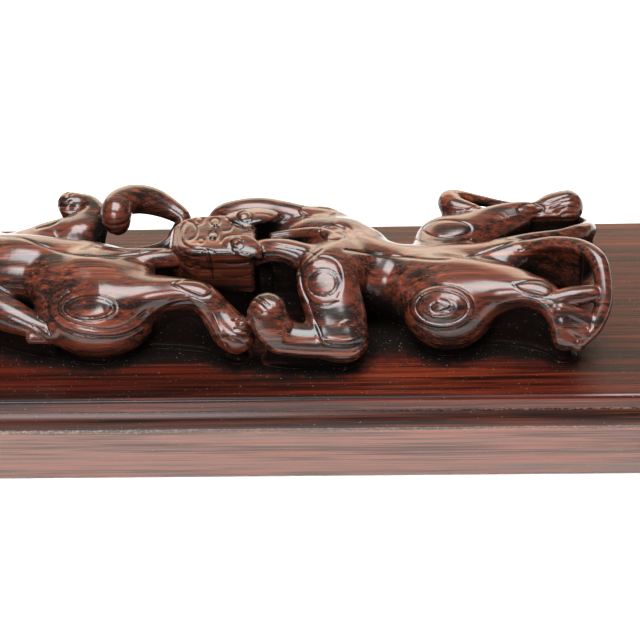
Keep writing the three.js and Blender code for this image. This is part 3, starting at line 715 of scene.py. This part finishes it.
def net_of(field):
    """Surface net: one point in each cell that the surface crosses, at the mean of the crossings
    of its edges, and a quad across each grid edge whose two ends are on different sides."""
    wood = field.wood
    inside = wood < 0
    cells = [n - 1 for n in wood.shape]
    mixed_any = np.zeros(cells, bool)
    mixed_all = np.ones(cells, bool)
    for dx in (0, 1):
        for dy in (0, 1):
            for dz in (0, 1):
                corner = inside[dx:dx + cells[0], dy:dy + cells[1], dz:dz + cells[2]]
                mixed_any |= corner
                mixed_all &= corner
    cell = np.argwhere(mixed_any & ~mixed_all)
    index = np.full(cells, -1, np.int32)
    index[tuple(cell.T)] = np.arange(len(cell), dtype=np.int32)
    total = np.zeros((len(cell), 3))
    crossings = np.zeros(len(cell))
    for axis in range(3):
        others = [i for i in range(3) if i != axis]
        for da in (0, 1):
            for db in (0, 1):
                corner = np.zeros(3, int)
                corner[others[0]] = da
                corner[others[1]] = db
                start = cell + corner
                end = start.copy()
                end[:, axis] += 1
                a = wood[tuple(start.T)]
                b = wood[tuple(end.T)]
                crossed = (a < 0) != (b < 0)
                share = np.where(crossed, a / np.where(crossed, a - b, 1), 0)
                point = start.astype(float)
                point[:, axis] += share
                total += point * crossed[:, None]
                crossings += crossed
    points = field.low + field.spacing * total / crossings[:, None]
    quads = []
    for axis in range(3):
        others = [i for i in range(3) if i != axis]
        low = [slice(None)] * 3
        high = [slice(None)] * 3
        low[axis] = slice(0, -1)
        high[axis] = slice(1, None)
        for i in others:
            low[i] = slice(1, -1)
            high[i] = slice(1, -1)
        start_in = inside[tuple(low)]
        crossed = np.argwhere(start_in != inside[tuple(high)])
        facing = start_in[tuple(crossed.T)]
        base = crossed.copy()
        base[:, others] += 1
        around = []
        for da, db in ((1, 1), (0, 1), (0, 0), (1, 0)):
            neighbour = base.copy()
            neighbour[:, others[0]] -= da
            neighbour[:, others[1]] -= db
            around.append(index[tuple(neighbour.T)])
        quad = np.stack(around, 1)
        turn = facing if axis != 1 else ~facing
        quad[~turn] = quad[~turn][:, ::-1]
        quads.append(quad)
    return points, np.vstack(quads)


def sample(field, points, values=None):
    """The field between grid points, by trilinear shares of the eight corners around a point, or
    another grid of values of the same size."""
    values = field.wood if values is None else values
    where = (points - field.low) / field.spacing
    base = np.clip(np.floor(where).astype(int), 0, field.count - 2)
    share = np.clip(where - base, 0, 1)
    total = np.zeros(len(points))
    for corner in np.ndindex(2, 2, 2):
        weight = np.prod(np.where(corner, share, 1 - share), axis=1)
        total += weight * values[tuple((base + corner).T)]
    return total


def slope(field, points, step=0.3):
    """Outward direction at points, from differences of the field."""
    normal = np.stack([
        sample(field, points + offset) - sample(field, points - offset)
        for offset in np.eye(3) * step
    ], 1)
    return normal / np.maximum(np.linalg.norm(normal, axis=1, keepdims=True), 1e-9)


def nearest(field, points):
    """The field at the grid points nearest to points, FAR outside the grid."""
    index = np.rint((points - field.low) / field.spacing).astype(int)
    inside = np.all((index >= 0) & (index < field.count), axis=1)
    index = np.clip(index, 0, field.count - 1)
    return np.where(inside, field.wood[tuple(index.T)], field.FAR)


def openness(fields, points, normals):
    """How much of the sky a place sees, 0 to 1, from free distances along a fan of directions."""
    fan = [(0, 0, 1)]
    for height, count in SKY_RINGS:
        flat = math.sqrt(1 - height * height)
        turns = np.arange(count) * 2 * math.pi / count + 0.3
        fan += [(flat * math.cos(t), flat * math.sin(t), height) for t in turns]
    seen = np.zeros(len(points))
    total = np.zeros(len(points))
    start = points + normals * 0.5
    for direction in np.array(fan):
        weight = np.maximum(normals @ direction, 0) + 0.12
        free = np.ones(len(points))
        for distance in SKY_DISTANCES:
            place = start + direction * distance
            gap = place[:, 2] - GROUND + 1.0
            for field in fields:
                gap = np.minimum(gap, nearest(field, place))
            free = np.minimum(free, np.clip(0.35 + gap / (0.3 * distance + 0.3), 0, 1))
        seen += weight * free
        total += weight
    return seen / total


def thinned(mesh, most):
    """The mesh with its flattest edges collapsed until at most that many triangles are left."""
    holder = bpy.data.objects.new("thinning", mesh)
    bpy.context.scene.collection.objects.link(holder)
    triangles = sum(len(p.vertices) - 2 for p in mesh.polygons)
    modifier = holder.modifiers.new("thin", "DECIMATE")
    modifier.ratio = min(1.0, most / triangles)
    evaluated = holder.evaluated_get(bpy.context.evaluated_depsgraph_get())
    result = bpy.data.meshes.new_from_object(evaluated)
    bpy.data.objects.remove(holder)
    return result


def mesh_from(name, points, faces):
    mesh = bpy.data.meshes.new(name)
    mesh.from_pydata((points * MM).tolist(), [], faces.tolist())
    return mesh


def points_of(mesh):
    flat = np.empty(len(mesh.vertices) * 3)
    mesh.vertices.foreach_get("co", flat)
    return flat.reshape(-1, 3) / MM


def set_values(mesh, name, values):
    attribute = mesh.attributes.new(name, "FLOAT", "POINT")
    attribute.data.foreach_set("value", np.asarray(values, F))


def finished_piece(name, mesh, material):
    piece = bpy.data.objects.new(name, mesh)
    bpy.context.scene.collection.objects.link(piece)
    mesh.materials.clear()
    mesh.materials.append(material)
    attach(piece, "root")
    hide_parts(NODE)
    return piece


class Socket:
    """A node socket or number with the arithmetic that the wood's pattern uses."""

    def __init__(self, tree, value):
        self.tree = tree
        self.value = value

    def node(self, kind, settings=(), inputs=(), output=0):
        """Adds a node of a kind, sets its settings, then the values or links of its sockets."""
        made = self.tree.nodes.new(kind)
        for key, value in dict(settings).items():
            setattr(made, key, value)
        for key, value in dict(inputs).items():
            if isinstance(value, Socket):
                value = value.value
            if isinstance(value, bpy.types.NodeSocket):
                self.tree.links.new(value, made.inputs[key])
            else:
                made.inputs[key].default_value = value
        return Socket(self.tree, made.outputs[output]) if made.outputs else None

    def math(self, operation, *values):
        return self.node("ShaderNodeMath", {"operation": operation}, enumerate((self, *values)))

    def __add__(self, other):
        return self.math("ADD", other)

    __radd__ = __add__

    def __mul__(self, other):
        return self.math("MULTIPLY", other)

    def __sub__(self, other):
        return self.math("SUBTRACT", other)

    def __rsub__(self, other):
        return self.node("ShaderNodeMath", {"operation": "SUBTRACT"}, {0: other, 1: self})

    def between(self, low, high):
        """0 below low, 1 above high, eased between."""
        return self.node(
            "ShaderNodeMapRange",
            {"interpolation_type": "SMOOTHSTEP"},
            {"Value": self, "From Min": low, "From Max": high},
        )

    def mix(self, first, second):
        """Colour first where this is 0, colour second where it is 1."""
        settings = {"data_type": "RGBA", "clamp_factor": True}
        return self.node("ShaderNodeMix", settings, {0: self, 6: first, 7: second}, 2)

    def tinted(self, tint):
        """Colour multiplied by a tint."""
        settings = {"data_type": "RGBA", "blend_type": "MULTIPLY"}
        return self.node("ShaderNodeMix", settings, {0: 1.0, 6: self, 7: tint}, 2)

    def stretched(self, x, y, z):
        """Coordinates scaled along each axis."""
        return self.node("ShaderNodeVectorMath", {"operation": "MULTIPLY"}, {0: self, 1: (x, y, z)})

    def noise(self, scale, detail=3.0, roughness=0.5, warp=0.0):
        return self.node("ShaderNodeTexNoise", {}, {
            "Vector": self,
            "Scale": scale,
            "Detail": detail,
            "Roughness": roughness,
            "Distortion": warp,
        })


def rosewood(colours):
    """Dark rosewood: black veins and warm streaks that run along the block, fine pores, a waxed
    skin that is duller in the recesses and painted black there as shade with dirt, upright faces
    painted paler as light from the white floor, a painted highlight along the lower edge, and
    specks of pale dust."""
    material = bpy.data.materials.new("waxed rosewood")
    material.use_nodes = True
    tree = material.node_tree
    tree.nodes.clear()
    start = Socket(tree, 0.0)
    place = start.node("ShaderNodeTexCoord", {}, {}, "Object").stretched(1000, 1000, 1000)
    opened = start.node("ShaderNodeAttribute", {"attribute_name": "openness"}, {}, "Fac")
    cut = start.node("ShaderNodeAttribute", {"attribute_name": "cut"}, {}, "Fac")
    wall = start.node("ShaderNodeAttribute", {"attribute_name": "wall"}, {}, "Fac")
    height = start.node("ShaderNodeSeparateXYZ", {}, {0: place}, 2)

    # Grain, each pattern drawn out along the block
    veins = place.stretched(0.012, 0.30, 0.30).noise(1.0, 4.0, 0.6, 0.25)
    ribbons = place.stretched(0.020, 1.0, 1.0).noise(1.0, 3.0, 0.6, 0.15)
    threads = place.stretched(0.035, 2.8, 2.8).noise(1.0, 3.0, 0.6)
    patches = place.stretched(0.010, 0.05, 0.05).noise(1.0, 2.0, 0.5)

    warm = (ribbons * 0.5 + veins * 0.3 + threads * 0.2).between(0.42, 0.60)
    wood = warm.mix(colours.brown, colours.red)
    glow = (threads * 0.35 + ribbons * 0.5 + patches * 0.45 - 0.15).between(0.53, 0.70)
    wood = (glow * 0.7).mix(wood, colours.orange)
    dark = (veins * 0.45 + threads * 0.30 + ribbons * 0.25).between(0.53, 0.40)
    wood = (dark * 0.85).mix(wood, colours.black)

    # Black in the recesses, painted shade with wax and dirt; painted shade on the walls under the limbs; the
    # carving darker towards its foot
    smudge = place.noise(0.45, 5.0, 0.7)
    dirt_and_shade = (opened + smudge * 0.5 - 0.25).between(0.79, 0.42).math("MAXIMUM", wall * 0.95)
    # The carving painted darker towards its bottom, just above the ground
    foot = height.between(GROUND + 6.5, GROUND + 1.5) * height.between(GROUND + 0.2, GROUND + 0.6)
    dirt_and_shade = dirt_and_shade.math("MAXIMUM", foot * (0.35 + smudge.between(0.35, 0.6) * 0.4))
    line = cut.between(0.03, 0.2)

    # Zones of the block by height: the ground, the upright face painted paler as light from the white floor,
    # the hollow under the lip painted dark as shade
    low = height.between(GROUND + 0.7, GROUND - 0.1)
    level = low * height.between(GROUND - 1.2, GROUND - 0.4)
    wood = (level * 0.8).mix(wood, wood.tinted(colours.ground))
    face = height.between(PLINTH_HEIGHT + 0.2, PLINTH_HEIGHT - 0.5)
    # Painted light: the upright face made paler, as light from the white floor, streaked by the grain
    floor_lit_face = face * (0.70 + threads * 0.35 - dark * 0.32)
    pale = (threads * 0.6 + ribbons * 0.4).between(0.43, 0.57).mix(colours.floor_lit_face, colours.salmon)
    wood = floor_lit_face.mix(wood, pale)
    # Painted shade: the hollow under the lip half black
    hollow = height.between(PLINTH_HEIGHT, PLINTH_HEIGHT + 0.8) * height.between(GROUND - 2.8, GROUND - 3.6)
    wood = (hollow * 0.5).mix(wood, colours.black)

    # Wear: ground rubbed along the near edge, and crumbling edges above and below the hollow; the edge below
    # the hollow is also painted pale as a highlight, more so towards the left end
    crumbs = place.stretched(1.1, 2.4, 2.4).noise(1.0, 4.0, 0.75)
    along = start.node("ShaderNodeSeparateXYZ", {}, {0: place}, 0)
    depth = start.node("ShaderNodeSeparateXYZ", {}, {0: place}, 1)
    rubbed = depth.between(-6, -20) * along.between(88, 76)
    rubbed = rubbed * height.between(GROUND - 0.6, GROUND - 0.2) * low
    arris = height.between(PLINTH_HEIGHT - 0.75, PLINTH_HEIGHT - 0.4)
    arris = arris * height.between(PLINTH_HEIGHT + 0.2, PLINTH_HEIGHT)
    shoulder = GROUND - LIP_HEIGHT
    quirk = height.between(shoulder - 0.3, shoulder - 0.1) * height.between(shoulder + 0.5, shoulder + 0.2)
    # Wear, and a painted highlight along the edge below the hollow
    wear_and_highlight = arris * (0.18 + along.between(0, -60) * 0.3) + quirk * (0.12 + along.between(35, 75) * 0.6)
    wear_and_highlight = wear_and_highlight * crumbs.between(0.46, 0.62)
    wood = wear_and_highlight.mix(wood, colours.dust)
    # Painted shade with dirt, in black
    wood = dirt_and_shade.mix(wood, colours.black)
    # Painted shade with dirt in the carved grooves, in black
    wood = (line * 0.75).mix(wood, colours.black)

    dust = (place.noise(2.9, 1.0, 0.5) + dirt_and_shade * 0.015).between(0.75, 0.79)
    wood = (dust * 0.5).mix(wood, colours.dust)

    roughness = 0.20 + threads * 0.14 + smudge * 0.16 + dirt_and_shade * 0.6 + dust * 0.3 + face * 0.2
    pores = place.stretched(0.4, 8.0, 8.0).noise(1.0, 2.0, 0.6)
    relief = pores * 0.5 + threads * 0.35 + place.noise(0.8, 2.0) * 0.6
    relief = relief + place.noise(1.6, 4.0, 0.7) * dirt_and_shade * 2
    bump = start.node("ShaderNodeBump", {}, {"Strength": 0.14, "Distance": 0.00014, "Height": relief})
    shader = start.node("ShaderNodeBsdfPrincipled", {}, {
        "Base Color": wood,
        "Roughness": roughness,
        "Specular IOR Level": 0.05,
        "Coat Weight": (1 - dirt_and_shade) * (0.86 - low * 0.22 - rubbed * 0.6 - face * 0.35 - hollow * 0.3),
        "Coat Roughness": 0.2,
        "Normal": bump,
    })
    start.node("ShaderNodeOutputMaterial", {}, {"Surface": shader})
    return material


def wood_material(context):
    found = bpy.data.materials.get("waxed rosewood")
    return found or rosewood(context.scene.paperweight_finish)


def block_mesh(spacing):
    """The moulded profile carried round a rectangle, its corners mitred, closed by two grids."""
    round_steps = np.linspace(0, math.pi / 2, 7)
    arris_steps = np.linspace(0, math.pi / 2, 4)
    shoulder = PLINTH_HEIGHT + STEP_RISE
    profile = [(FOOT_BEVEL, 0.0), (0.0, FOOT_BEVEL)]
    profile += [
        (ARRIS_ROUND * (1 - math.cos(a)), PLINTH_HEIGHT - ARRIS_ROUND * (1 - math.sin(a)))
        for a in arris_steps
    ]
    profile += [
        (STEP_SET_IN * t, PLINTH_HEIGHT + (STEP_RISE - QUIRK) * t + COVE_BULGE * math.sin(math.pi * t))
        for t in (0.45, 0.65, 0.85, 0.97)
    ]
    profile += [(STEP_SET_IN + QUIRK, shoulder), (STEP_SET_IN, shoulder + QUIRK * 0.8)]
    profile += [
        (STEP_SET_IN + LIP_ROUND * (1 - math.cos(a)), GROUND - LIP_ROUND * (1 - math.sin(a)))
        for a in round_steps
    ]
    profile = np.array(profile)
    count_x = int(LENGTH / spacing)
    count_y = int(WIDTH / spacing)
    edge_x = np.linspace(-1, 1, count_x + 1)
    edge_y = np.linspace(-1, 1, count_y + 1)
    rim = np.concatenate([
        np.stack([edge_x[:-1], np.full(count_x, -1.0)], 1),
        np.stack([np.full(count_y, 1.0), edge_y[:-1]], 1),
        np.stack([edge_x[:0:-1], np.full(count_x, 1.0)], 1),
        np.stack([np.full(count_y, -1.0), edge_y[:0:-1]], 1),
    ])
    half = np.array([LENGTH / 2, WIDTH / 2])
    rings = rim[None] * (half - profile[:, None, :1])
    heights = np.broadcast_to(profile[:, 1:2], rings.shape[:2])
    side_points = np.concatenate([rings, heights[..., None]], 2).reshape(-1, 3)
    around = len(rim)
    ring, step = np.meshgrid(np.arange(len(profile) - 1), np.arange(around), indexing="ij")
    corner = ring * around + step
    ahead = ring * around + (step + 1) % around
    faces = [np.stack([corner, ahead, ahead + around, corner + around], 2).reshape(-1, 4)]
    points = [side_points]
    start = len(side_points)
    for row, upward in ((len(profile) - 1, True), (0, False)):
        inner_x, inner_y = np.meshgrid(edge_x, edge_y, indexing="ij")
        flat = np.stack([inner_x, inner_y], 2) * (half - profile[row, 0])
        sheet = np.concatenate([flat, np.full((*inner_x.shape, 1), profile[row, 1])], 2).reshape(-1, 3)
        i, j = np.meshgrid(np.arange(count_x), np.arange(count_y), indexing="ij")
        first = start + i * (count_y + 1) + j
        quad = np.stack([first, first + count_y + 1, first + count_y + 2, first + 1], 2).reshape(-1, 4)
        faces.append(quad if upward else quad[:, ::-1])
        points.append(sheet)
        start += len(sheet)
    return np.vstack(points), np.vstack(faces)


class PaperweightShape(bpy.types.PropertyGroup):
    """How finely the carving is worked."""

    spacing: bpy.props.FloatProperty(
        name="Grid Spacing",
        description="Distance between the points of the carving's grid, in millimetres",
        default=0.24, min=0.15, max=1.0,
    )
    triangles: bpy.props.IntProperty(
        name="Triangles",
        description="Most triangles left in each carved beast",
        default=190000, min=20000, max=199000,
    )


class PaperweightFinish(bpy.types.PropertyGroup):
    """Colours of the wood."""

    # This black also paints the shade and dirt in the recesses, under the limbs, in the carved grooves and
    # in the hollow under the lip
    black: bpy.props.FloatVectorProperty(
        name="Vein", description="Black veins and wax in the recesses",
        subtype="COLOR", size=4, min=0, max=1, default=(0.004, 0.0028, 0.0022, 1),
    )
    brown: bpy.props.FloatVectorProperty(
        name="Brown", description="Plain brown of the wood",
        subtype="COLOR", size=4, min=0, max=1, default=(0.028, 0.0095, 0.0065, 1),
    )
    red: bpy.props.FloatVectorProperty(
        name="Red", description="Red of the ribbons",
        subtype="COLOR", size=4, min=0, max=1, default=(0.090, 0.0195, 0.0098, 1),
    )
    orange: bpy.props.FloatVectorProperty(
        name="Orange", description="Warm streaks",
        subtype="COLOR", size=4, min=0, max=1, default=(0.23, 0.062, 0.024, 1),
    )
    ground: bpy.props.FloatVectorProperty(
        name="Ground", description="Tint of the block's deeper, redder wood around the beasts",
        subtype="COLOR", size=4, min=0, max=1, default=(0.38, 0.12, 0.085, 1),
    )
    # Painted light: this colour and the next make the upright faces paler, as light from the white floor
    floor_lit_face: bpy.props.FloatVectorProperty(
        name="Dry Wood", description="Paler, drier wood of the upright faces",
        subtype="COLOR", size=4, min=0, max=1, default=(0.17, 0.125, 0.112, 1),
    )
    salmon: bpy.props.FloatVectorProperty(
        name="Dry Streaks", description="Pinker streaks of the upright faces",
        subtype="COLOR", size=4, min=0, max=1, default=(0.25, 0.128, 0.103, 1),
    )
    # Also the pale of the crumbling edges, and a painted highlight along the edge below the hollow
    dust: bpy.props.FloatVectorProperty(
        name="Dust", description="Specks of pale dust",
        subtype="COLOR", size=4, min=0, max=1, default=(0.35, 0.30, 0.25, 1),
    )


class PaperweightStage(bpy.types.PropertyGroup):
    """Camera and studio."""

    distance: bpy.props.FloatProperty(
        name="Distance", description="From the camera to the point it looks at",
        default=0.4532, subtype="DISTANCE", unit="LENGTH",
    )
    elevation: bpy.props.FloatProperty(
        name="Elevation", description="Height of the camera above the horizon",
        default=math.radians(37.29), subtype="ANGLE",
    )
    azimuth: bpy.props.FloatProperty(
        name="Azimuth", description="Turn of the camera towards the rear beast's tail",
        default=math.radians(2.5), subtype="ANGLE",
    )
    roll: bpy.props.FloatProperty(
        name="Roll", description="Turn of the picture about the line of sight",
        default=math.radians(-2.16), subtype="ANGLE",
    )
    target: bpy.props.FloatVectorProperty(
        name="Target", description="Point that the camera looks at",
        default=(0.0235, -0.00414, 0.020), subtype="XYZ", unit="LENGTH",
    )
    lens: bpy.props.FloatProperty(
        name="Lens", description="Focal length on a 36 mm wide picture, in millimetres",
        default=113.625,
    )
    floor: bpy.props.FloatVectorProperty(
        name="Floor", description="Colour of the floor",
        subtype="COLOR", size=4, min=0, max=1, default=(0.86, 0.86, 0.86, 1),
    )


FIELDS = {}


def beast_piece(context, name, box, shape, decorate):
    settings = context.scene.paperweight_shape
    field = Field(*box, settings.spacing)
    shape(field)
    FIELDS[name] = field
    decorate(field, Sight(context.scene.paperweight_stage))
    settle_on_ground(field)
    points, quads = net_of(field)
    mesh = thinned(mesh_from(name, points, quads), settings.triangles)
    mesh.name = name
    places = points_of(mesh)
    normals = slope(field, places)
    # Openness, which the wood's material turns into painted shade with dirt
    set_values(mesh, "openness", openness([field], places, normals))
    set_values(mesh, "cut", sample(field, places, field.cut))
    # Painted shade near the walls under the limbs, thinning out upwards
    low_wall = 1 - np.clip((places[:, 2] - GROUND - WALL_SHADE_TOP) / WALL_SHADE_FADE, 0, WALL_SHADE_MOST_FADE)
    near_wall = np.clip(1.5 - sample(field, places, field.walls) / 0.9, 0, 1)
    set_values(mesh, "wall", near_wall * low_wall)
    mesh.polygons.foreach_set("use_smooth", np.ones(len(mesh.polygons), bool))
    mesh.normals_split_custom_set_from_vertices(normals.tolist())
    finished_piece(name, mesh, wood_material(context))


def decorate_rear(field, sight):
    """The rear beast's lines, and those of the fore part kept as places for the front beast."""
    plain = field.wood.copy()
    engrave(field, field, FORE_LINES + HEAD_LINES, FORE_OVALS + HEAD_OVALS, sight)
    engrave(field, field, REAR_LINES, REAR_OVALS, sight)
    field.plain = plain


def decorate_front(field, sight):
    """The front beast's lines; its fore part repeats the rear one's, which the picture shows."""
    engrave(field, field, FRONT_LINES, FRONT_OVALS, sight)
    rear = FIELDS["rear_beast"]
    engraved = rear.wood
    rear.wood = rear.plain
    engrave(field, rear, HEAD_LINES + FORE_LINES[-1:], HEAD_OVALS + FORE_OVALS[2:], sight, -PITCH)
    rear.wood = engraved


class PAPERWEIGHT_OT_rear_beast(bpy.types.Operator):
    """Carve the rear beast"""

    bl_idname = "paperweight.rear_beast"
    bl_label = "Rear Beast"

    def execute(self, context):
        beast_piece(context, "rear_beast", REAR_BOX, rear_beast_shape, decorate_rear)
        return {"FINISHED"}


class PAPERWEIGHT_OT_front_beast(bpy.types.Operator):
    """Carve the front beast"""

    bl_idname = "paperweight.front_beast"
    bl_label = "Front Beast"

    def execute(self, context):
        beast_piece(context, "front_beast", FRONT_BOX, front_beast_shape, decorate_front)
        return {"FINISHED"}


class PAPERWEIGHT_OT_block(bpy.types.Operator):
    """Make the moulded block under the beasts"""

    bl_idname = "paperweight.block"
    bl_label = "Block"

    def execute(self, context):
        points, faces = block_mesh(BLOCK_GRID)
        mesh = mesh_from("moulded_block", points, faces)
        mesh.validate()
        normals = np.zeros_like(points)
        normals[:, 2] = 1
        on_top = points[:, 2] > GROUND - 0.01
        values = np.ones(len(points))
        # Openness of the ground, which the wood's material turns into painted shade with dirt near the
        # beasts
        values[on_top] = openness(FIELDS.values(), points[on_top] + (0, 0, 0.3), normals[on_top])
        set_values(mesh, "openness", values)
        mesh.polygons.foreach_set("use_smooth", np.ones(len(mesh.polygons), bool))
        mesh.set_sharp_from_angle(angle=SHARP_EDGE)
        finished_piece("moulded_block", mesh, wood_material(context))
        return {"FINISHED"}


def matte(name, colour):
    material = bpy.data.materials.new(name)
    material.use_nodes = True
    shader = material.node_tree.nodes["Principled BSDF"]
    shader.inputs["Base Color"].default_value = colour
    shader.inputs["Roughness"].default_value = 0.9
    return material


def soft_box(name, place, size, power, colour):
    """Rectangular area light at place, facing the lit point, in millimetres."""
    data = bpy.data.lights.new(name, "AREA")
    data.shape = "RECTANGLE"
    data.size, data.size_y = [side * MM for side in size]
    data.energy = power
    data.color = colour
    light = bpy.data.objects.new(name, data)
    bpy.context.scene.collection.objects.link(light)
    back = np.array(place, float) - np.array(LIT_POINT, float)
    back /= np.linalg.norm(back)
    side = np.cross((0, 0, 1), back)
    side /= np.linalg.norm(side)
    up = np.cross(back, side)
    turned = np.column_stack([side, up, back, np.array(place) * MM])
    light.matrix_world = Matrix(np.vstack([turned, (0, 0, 0, 1)]).tolist())


class PAPERWEIGHT_OT_stage(bpy.types.Operator):
    """Set up the floor, the lights and the camera"""

    bl_idname = "paperweight.stage"
    bl_label = "Stage"

    def execute(self, context):
        stage = context.scene.paperweight_stage
        corners = [(x * FLOOR_HALF, y * FLOOR_HALF, 0.0) for x, y in ((-1, -1), (1, -1), (1, 1), (-1, 1))]
        mesh = mesh_from("floor", np.array(corners), np.array([[0, 1, 2, 3]]))
        floor = bpy.data.objects.new("floor", mesh)
        context.scene.collection.objects.link(floor)
        mesh.materials.append(matte("pale floor", stage.floor))

        world = bpy.data.worlds.new("studio")
        context.scene.world = world
        world.use_nodes = True
        backdrop = world.node_tree.nodes["Background"]
        backdrop.inputs["Color"].default_value = (1, 1, 1, 1)
        backdrop.inputs["Strength"].default_value = WORLD_STRENGTH

        for box in SOFT_BOXES:
            soft_box(*box)

        data = bpy.data.cameras.new("camera")
        data.sensor_width = SENSOR_WIDTH
        data.lens = stage.lens
        data.clip_start = 0.01
        camera = bpy.data.objects.new("camera", data)
        context.scene.collection.objects.link(camera)
        sight = Sight(stage)
        turned = np.column_stack([sight.right, sight.top, sight.back, sight.place * MM])
        camera.matrix_world = Matrix(np.vstack([turned, (0, 0, 0, 1)]).tolist())
        context.scene.camera = camera
        context.scene.view_settings.view_transform = "Standard"
        return {"FINISHED"}


class PAPERWEIGHT_PT_panel(bpy.types.Panel):
    """Lists the steps that make the paperweight"""

    bl_label = "Carved Paperweight"
    bl_idname = "PAPERWEIGHT_PT_panel"
    bl_space_type = "VIEW_3D"
    bl_region_type = "UI"
    bl_category = "Paperweight"

    def draw(self, context):
        for step in STEPS:
            self.layout.operator(step.bl_idname)
        for group in ("paperweight_shape", "paperweight_finish", "paperweight_stage"):
            settings = getattr(context.scene, group)
            for name in settings.__annotations__:
                self.layout.prop(settings, name)


STEPS = (
    PAPERWEIGHT_OT_stage,
    PAPERWEIGHT_OT_rear_beast,
    PAPERWEIGHT_OT_front_beast,
    PAPERWEIGHT_OT_block,
)
GROUPS = {
    "paperweight_shape": PaperweightShape,
    "paperweight_finish": PaperweightFinish,
    "paperweight_stage": PaperweightStage,
}


def register():
    for kind in (*GROUPS.values(), *STEPS, PAPERWEIGHT_PT_panel):
        bpy.utils.register_class(kind)
    for name, kind in GROUPS.items():
        setattr(bpy.types.Scene, name, bpy.props.PointerProperty(type=kind))


def unregister():
    for name in GROUPS:
        delattr(bpy.types.Scene, name)
    for kind in reversed((*GROUPS.values(), *STEPS, PAPERWEIGHT_PT_panel)):
        bpy.utils.unregister_class(kind)


def main():
    register()
    bpy.ops.paperweight.stage()
    bpy.ops.paperweight.rear_beast()
    bpy.ops.paperweight.front_beast()
    bpy.ops.paperweight.block()


if __name__ == "__main__":
    main()
